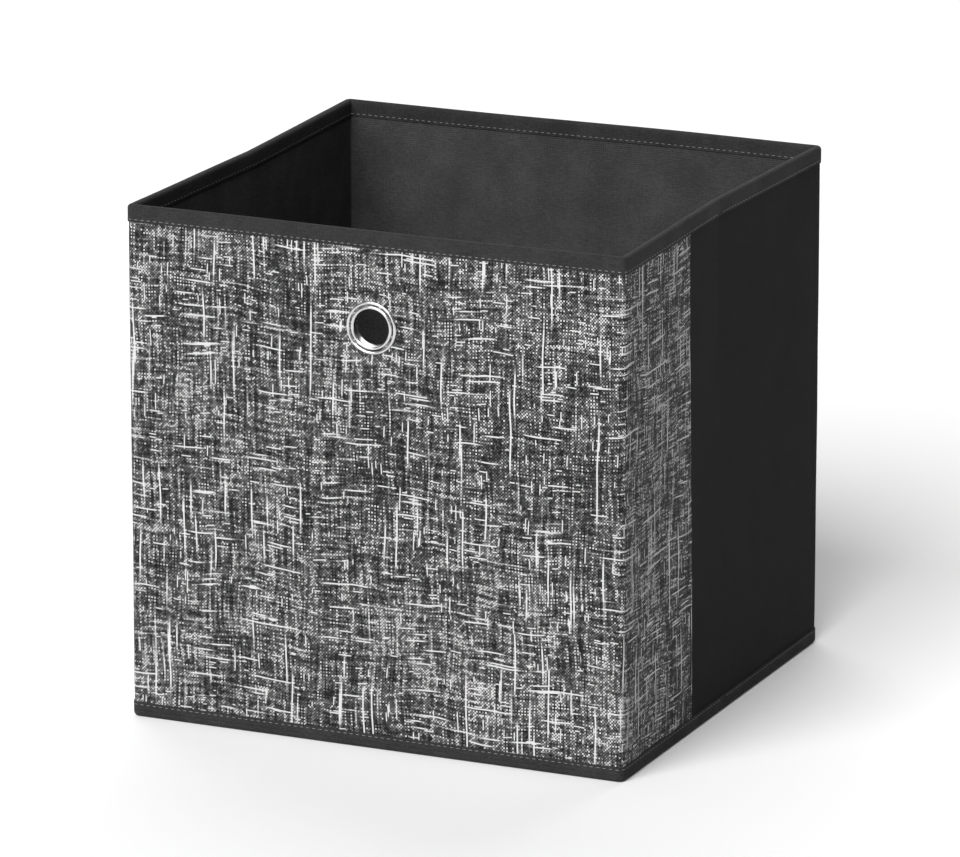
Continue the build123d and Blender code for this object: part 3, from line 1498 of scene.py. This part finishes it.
@dataclass
class Bottom:
    """The cloth bottom and the hems that join it to the walls.

    Attributes:
        sizes: the bin's sizes.
        finishes: the materials.
        thickness: the hems' thickness.
        soft_edge: rounding of the lower edge.
        reach: how far the hems go in under the bottom.
        tuck: how far they go up inside the lower binding's gap.
        inset: how far the cloth bottom stays inside the walls' faces.
        lift: how far its underside stands above the floor.
        rumple: how far it rises here and there.
        rumple_scale: how close together those places are.
        settle: how quickly it lies flat towards its edges.
        grid: how many parts it has across and from front to back.
    """

    sizes: Sizes
    finishes: Finishes
    thickness: float = 0.7 * MM
    soft_edge: float = 2.6 * MM
    reach: float = 9 * MM
    tuck: float = 0.12 * MM
    inset: float = 6.5 * MM
    lift: float = 0.1 * MM
    rumple: float = 0.25 * MM
    rumple_scale: float = 30.0
    settle: float = 12.0
    grid: tuple[int, int] = (58, 56)

    def hem_profile(self) -> Section:
        """Return the hem's cross-section, from under the lower binding round to the bottom."""
        top, bend = self.sizes.hem_top + self.tuck, self.soft_edge
        round_edge = arc((bend, bend), bend, 180, 270, 5)
        points = [(0.0, top), (0.0, (top + bend) / 2), *round_edge, (self.reach, 0.0)]
        return measured(points, -top)

    def folds_down(self, piece: bpy.types.Object) -> None:
        """Give a piece its own copy of its mesh and attach it to the back body.

        Args:
            piece: the piece.
        """
        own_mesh(piece)
        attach(piece, "back")

    def build(self, ring: Ring) -> None:
        """Make the bottom and its hems.

        Args:
            ring: the ring of walls.
        """
        marks, cloth = ring.marks, self.finishes.binding
        profile = self.hem_profile()
        stretches = (
            ("right", 0.0, marks[1], ("right_bottom_hem",)),
            ("front", marks[1], marks[4], ("front_bottom_hem",)),
            ("left", marks[4], marks[5], ("left_bottom_hem",)),
            ("back", marks[5], marks[8], ("back_bottom_hem",)),
            ("right_end", marks[8], ring.total, ()),
        )
        for name, start, end, nodes in stretches:
            hem = f"{name}_hem_cloth"
            piece = Cloth(hem, start, end, profile, Side.OUT, self.thickness, cloth).build(ring)
            declare(piece, nodes)
            if name == "back":
                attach(piece, "back")
            else:
                self.folds_down(piece)
        self.floor_cloth()

    def floor_cloth(self) -> None:
        """Make the cloth bottom inside the hems."""
        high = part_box("bottom_fabric")[1].z
        width, depth = self.sizes.half_width - self.inset, self.sizes.half_depth - self.inset
        columns, rows = self.grid
        form = bmesh.new()
        bmesh.ops.create_grid(form, x_segments=columns, y_segments=rows, size=1.0)
        flat_u, flat_v = flat_layers(form)
        for vertex in form.verts:
            x, y = vertex.co.x * width, vertex.co.y * depth
            wave = noise.noise(Vector((x * self.rumple_scale, y * self.rumple_scale, 0.5)))
            rise = self.rumple * max(wave, 0.0)
            edge = min(1 - abs(vertex.co.x), 1 - abs(vertex.co.y)) * self.settle
            vertex.co = Vector((x, y, high + rise * min(edge, 1)))
            vertex[flat_u], vertex[flat_v] = x, y
        form.normal_update()
        bmesh.ops.solidify(form, geom=form.faces[:], thickness=high - self.lift)
        spread_flat(form)
        piece = as_object("bottom_cloth", form, self.finishes.plain)
        declare(piece, ("bottom_fabric",))
        self.folds_down(piece)


@dataclass
class BaseBoard:
    """The loose board on the bottom and the cloth cover that is turned down over its edges.

    Attributes:
        finishes: the materials.
        thickness: the cover's thickness.
        edge_round: rounding of the cover's edge.
        dip: how far the cover dips here and there.
        dip_scale: how close together those places are.
        steps: how many steps the cover has from its middle to its edge.
    """

    finishes: Finishes
    thickness: float = 0.6 * MM
    edge_round: float = 1.3 * MM
    dip: float = 0.12 * MM
    dip_scale: float = 26.0
    steps: int = 22

    def stops(self, half: float, skirt: float) -> list[tuple[float, float, float]]:
        """Return the places across the cover, with how far each is let down.

        Args:
            half: half the cover's size this way.
            skirt: how far the cover hangs down its edge.

        Returns:
            list[tuple[float, float, float]]: place, drop and distance across the flat cloth.
        """
        bend = self.edge_round
        side = [(half, skirt), (half, (skirt + bend) / 2)]
        side += [(half - bend + x, bend - z) for x, z in arc((0, 0), bend, 0, 90, 4)]
        across, found = half + skirt, []
        before = side[0]
        for stop in side:
            across -= math.dist(before, stop)
            before = stop
            found.append((*stop, across))
        flat_to, count = half - bend, self.steps
        inner = [(flat_to * index / count, 0.0) for index in range(count - 1, -1, -1)]
        scale = found[-1][2] / flat_to
        found += [(place, drop, place * scale) for place, drop in inner]
        mirrored = [(-place, drop, -flat) for place, drop, flat in found]
        return mirrored + found[-2::-1]

    def build(self) -> None:
        """Make the cover, and give the board its finish."""
        low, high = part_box("base_board_cover")
        skirt = high.z - low.z
        wide, deep = self.stops(high.x, skirt), self.stops(high.y, skirt)
        form = bmesh.new()
        columns, rows = len(wide) - 1, len(deep) - 1
        bmesh.ops.create_grid(form, x_segments=columns, y_segments=rows, size=0.5)
        flat_u, flat_v = flat_layers(form)
        for vertex in form.verts:
            x, drop_x, u = wide[round((vertex.co.x + 0.5) * columns)]
            y, drop_y, v = deep[round((vertex.co.y + 0.5) * rows)]
            drop = min(math.hypot(drop_x, drop_y), skirt)
            wave = noise.noise(Vector((x * self.dip_scale, y * self.dip_scale, 1.5)))
            dip = self.dip * min(wave, 0) if drop == 0 else 0.0
            vertex.co = Vector((x, y, high.z - drop + dip))
            vertex[flat_u], vertex[flat_v] = u, v
        form.normal_update()
        bmesh.ops.solidify(form, geom=form.faces[:], thickness=self.thickness)
        spread_flat(form)
        piece = as_object("base_cover_cloth", form, self.finishes.lining)
        declare(piece, ("base_board_cover",))
        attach(piece, "base")
        board = bpy.data.objects["base_board"]
        board.data.materials.clear()
        board.data.materials.append(self.finishes.board)


@dataclass
class Eyelet:
    """The two-ringed eyelet, its barrel and the washer behind the lining.

    Attributes:
        finishes: the materials.
        bore: radius of the open hole.
        cut: radius of the hole in the cloth and the board.
        metal: thickness of the barrel.
        outer_roll: radius of the outer ring's crown.
        outer_rise: how far the middle of that crown stands out of the cloth.
        inner_roll: radius of the inner ring's crown.
        inner_rise: how far the middle of that crown stands out of the cloth.
        groove: where the groove between them lies, in from the rim.
        groove_floor: how far out the groove's floor is, negative below the cloth's face.
        rim_tuck: how far in from the rim the ring meets the cloth.
        under: how far out the ring's back is, negative below the cloth's face.
        curl: radius of the barrel's turn into the lip.
        curl_middle: that turn's middle, out from the bore and forward of the eyelet's back.
        lip: how far the rolled lip reaches out behind the washer.
        lip_roll: radius of the lip's edge.
        lip_middle: the middle of that edge, measured as the turn's middle is.
        gap: the space between the lip and the washer.
        fit: the space between the barrel and the washer.
        soft: how far the washer's edges are broken.
        steps: how many parts the circle has.
    """

    finishes: Finishes
    bore: float = 10.5 * MM
    cut: float = 12.4 * MM
    metal: float = 0.7 * MM
    outer_roll: float = 0.9 * MM
    outer_rise: float = 0.55 * MM
    inner_roll: float = 0.95 * MM
    inner_rise: float = 0.45 * MM
    groove: tuple[float, float] = (1.85 * MM, 2.4 * MM)
    groove_floor: float = -0.25 * MM
    rim_tuck: float = 0.3 * MM
    under: float = -0.05 * MM
    curl: float = 0.85 * MM
    curl_middle: tuple[float, float] = (0.9 * MM, 0.75 * MM)
    lip: float = 2.4 * MM
    lip_roll: float = 0.5 * MM
    lip_middle: tuple[float, float] = (2.0 * MM, 0.45 * MM)
    gap: float = 0.03 * MM
    fit: float = 0.1 * MM
    soft: float = 0.18 * MM
    steps: int = 72

    def spun(self, name: str, profile: Outline, seat: Vector) -> bpy.types.Object:
        """Spin a closed cross-section about the eyelet's axis.

        Args:
            name: the piece's name.
            profile: distance from the axis and distance out of the wall of each point.
            seat: the axis's point in the plane of the outer cloth.

        Returns:
            bpy.types.Object: the ring.
        """
        form = bmesh.new()
        places = [(seat.x + radius, seat.y - rise, seat.z) for radius, rise in profile]
        points = [form.verts.new(place) for place in places]
        edges = [form.edges.new((a, b)) for a, b in zip(points, points[1:] + points[:1])]
        bmesh.ops.spin(
            form,
            geom=points + edges,
            cent=seat,
            axis=(0, 1, 0),
            angle=2 * math.pi,
            steps=self.steps,
            use_merge=True,
        )
        bmesh.ops.remove_doubles(form, verts=form.verts[:], dist=TINY)
        bmesh.ops.recalc_face_normals(form, faces=form.faces[:])
        return as_object(name, form, self.finishes.metal)

    def ring_profile(self, outer: float, back: float, washer_back: float) -> Outline:
        """Return the cross-section of the face, the barrel and the rolled lip.

        Args:
            outer: radius of the rim.
            back: how far behind the outer cloth the lip ends, negative.
            washer_back: where the washer's back face is.

        Returns:
            Outline: distance from the axis and distance out of the wall.
        """
        hole, barrel, end = self.bore, self.bore + self.metal, self.bore + self.lip
        turn, edge, seat = self.curl_middle, self.lip_middle, washer_back - self.gap
        profile = [(outer - self.rim_tuck, self.under)]
        crown = (outer - self.outer_roll, self.outer_rise)
        profile += arc(crown, self.outer_roll, -20, 165, 9)
        profile += [(outer - inset, self.groove_floor) for inset in self.groove]
        profile += arc((hole + self.inner_roll, self.inner_rise), self.inner_roll, -8, 180, 10)
        profile += [(hole, back + turn[0])]
        profile += arc((hole + turn[0], back + turn[1]), self.curl, 195, 270, 4)
        profile += arc((hole + edge[0], back + edge[1]), self.lip_roll, 270, 360, 3)
        profile += [(end, seat), (barrel, seat), (barrel, self.under)]
        return profile

    def build(self, ring: Ring, place: float) -> None:
        """Make the eyelet and its washer.

        Args:
            ring: the ring of walls.
            place: the eyelet's place along the ring.
        """
        ring_low, ring_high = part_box("eyelet_ring")
        washer_low, washer_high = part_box("eyelet_washer")
        height = (ring_low.z + ring_high.z) / 2
        seat = ring.point(place, ring.sizes.skin_face, height)
        cloth_face = ring.sizes.skin_face - ring.sizes.half_depth
        back, washer_back, washer_front = (
            cloth_face - corner.y for corner in (ring_high, washer_high, washer_low)
        )
        outer = (ring_high.z - ring_low.z) / 2
        profile = self.ring_profile(outer, back, washer_back)
        edge, soft = (washer_high.x - washer_low.x) / 2, self.soft
        inner = self.bore + self.metal + self.fit
        washer = [(inner, washer_front), (edge - soft, washer_front), (edge, washer_front - soft)]
        washer += [(edge, washer_back + soft), (edge - soft, washer_back), (inner, washer_back)]
        for name, section, node in (
            ("eyelet_metal", profile, "eyelet_ring"),
            ("washer_metal", washer, "eyelet_washer"),
        ):
            piece = self.spun(name, section, seat)
            declare(piece, (node,))
            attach(piece, "front")


@dataclass(frozen=True)
class Sun:
    """One broad, even light.

    Attributes:
        name: the light's name.
        azimuth: degrees to the right of the front.
        elevation: degrees above the horizon.
        strength: the light's strength.
        softness: its apparent width in degrees.
    """

    name: str
    azimuth: float
    elevation: float
    strength: float
    softness: float


@dataclass
class Studio:
    """The pale floor, the soft light and the camera.

    Attributes:
        finishes: the materials.
        azimuth: the camera's turn to the right of the front, in degrees.
        elevation: its height above the horizon, in degrees.
        distance: its distance from the bin's middle.
        lens: its focal length in millimetres.
        suns: the lights.
        away: their distance from the bin.
        sky: strength of the even light from all round.
        floor: the floor's radius.
        sides: how many sides the floor has.
        sensor: the camera's sensor width in millimetres.
        far: how far the camera sees.
    """

    finishes: Finishes
    azimuth: float = 24.0
    elevation: float = 15.5
    distance: float = 4.2
    lens: float = 278.0
    suns: tuple[Sun, ...] = (
        Sun("key_light", -5, 37, 4.5, 50),
        Sun("fill_light", -158, 32, 1.9, 70),
    )
    away: float = 3.0
    sky: float = 0.1
    floor: float = 40.0
    sides: int = 96
    sensor: float = 36.0
    far: float = 200.0

    def aim(
        self,
        thing: bpy.types.Object,
        azimuth: float,
        elevation: float,
        distance: float,
        at: Vector,
    ) -> None:
        """Place a camera or light round a point and turn it to look at it.

        Args:
            thing: the camera or light.
            azimuth: degrees to the right of the front.
            elevation: degrees above the horizon.
            distance: distance from the point.
            at: the point.
        """
        turn, rise = math.radians(azimuth), math.radians(elevation)
        flat = math.cos(rise)
        back = Vector((math.sin(turn) * flat, -math.cos(turn) * flat, math.sin(rise)))
        thing.location = at + back * distance
        thing.rotation_mode = "QUATERNION"
        thing.rotation_quaternion = (-back).to_track_quat("-Z", "Y")

    def shine(self, sun: Sun) -> None:
        """Add one light.

        Args:
            sun: the light.
        """
        data = bpy.data.lights.new(sun.name, "SUN")
        data.energy = sun.strength
        data.angle = math.radians(sun.softness)
        light = bpy.data.objects.new(sun.name, data)
        bpy.context.scene.collection.objects.link(light)
        self.aim(light, sun.azimuth, sun.elevation, self.away, Vector((0, 0, 0)))

    def build(self, sizes: Sizes) -> None:
        """Make the floor, lights and camera.

        Args:
            sizes: the bin's sizes.
        """
        form = bmesh.new()
        bmesh.ops.create_circle(form, cap_ends=True, segments=self.sides, radius=self.floor)
        floor = as_object("studio_floor", form, self.finishes.paper)
        scene = bpy.context.scene
        scene.view_settings.view_transform = "Standard"
        world = bpy.data.worlds.new("studio_world")
        scene.world = world
        world.use_nodes = True
        background = world.node_tree.nodes["Background"]
        background.inputs["Color"].default_value = (1, 1, 1, 1)
        background.inputs["Strength"].default_value = self.sky
        for sun in self.suns:
            self.shine(sun)
        data = bpy.data.cameras.new("studio_camera")
        data.lens = self.lens
        data.sensor_width = self.sensor
        data.clip_end = self.far
        camera = bpy.data.objects.new("studio_camera", data)
        scene.collection.objects.link(camera)
        scene.camera = camera
        middle = Vector((0, 0, sizes.height / 2))
        self.aim(camera, self.azimuth, self.elevation, self.distance, middle)


def main() -> None:
    """Build the bin, its finishes and its studio, and report each piece."""
    sizes = Sizes.from_frame()
    ring = Ring(sizes, Settling())
    finishes = Finishes()
    eyelet = Eyelet(finishes)
    ring_low, ring_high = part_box("eyelet_ring")
    place = (ring.marks[2] + ring.marks[3]) / 2 - (ring_low.x + ring_high.x) / 2
    hole = Hole(place, (ring_low.z + ring_high.z) / 2, eyelet.cut)
    Studio(finishes).build(sizes)
    WallCloths(sizes, finishes).build(ring, hole)
    WallBoards(sizes, finishes).build(ring, hole)
    Bottom(sizes, finishes).build(ring)
    BaseBoard(finishes).build()
    eyelet.build(ring, place)
    Stitching(sizes, finishes.thread).build(ring)


if __name__ == "__main__":
    logging.basicConfig(level=logging.INFO, format="%(message)s")
    main()
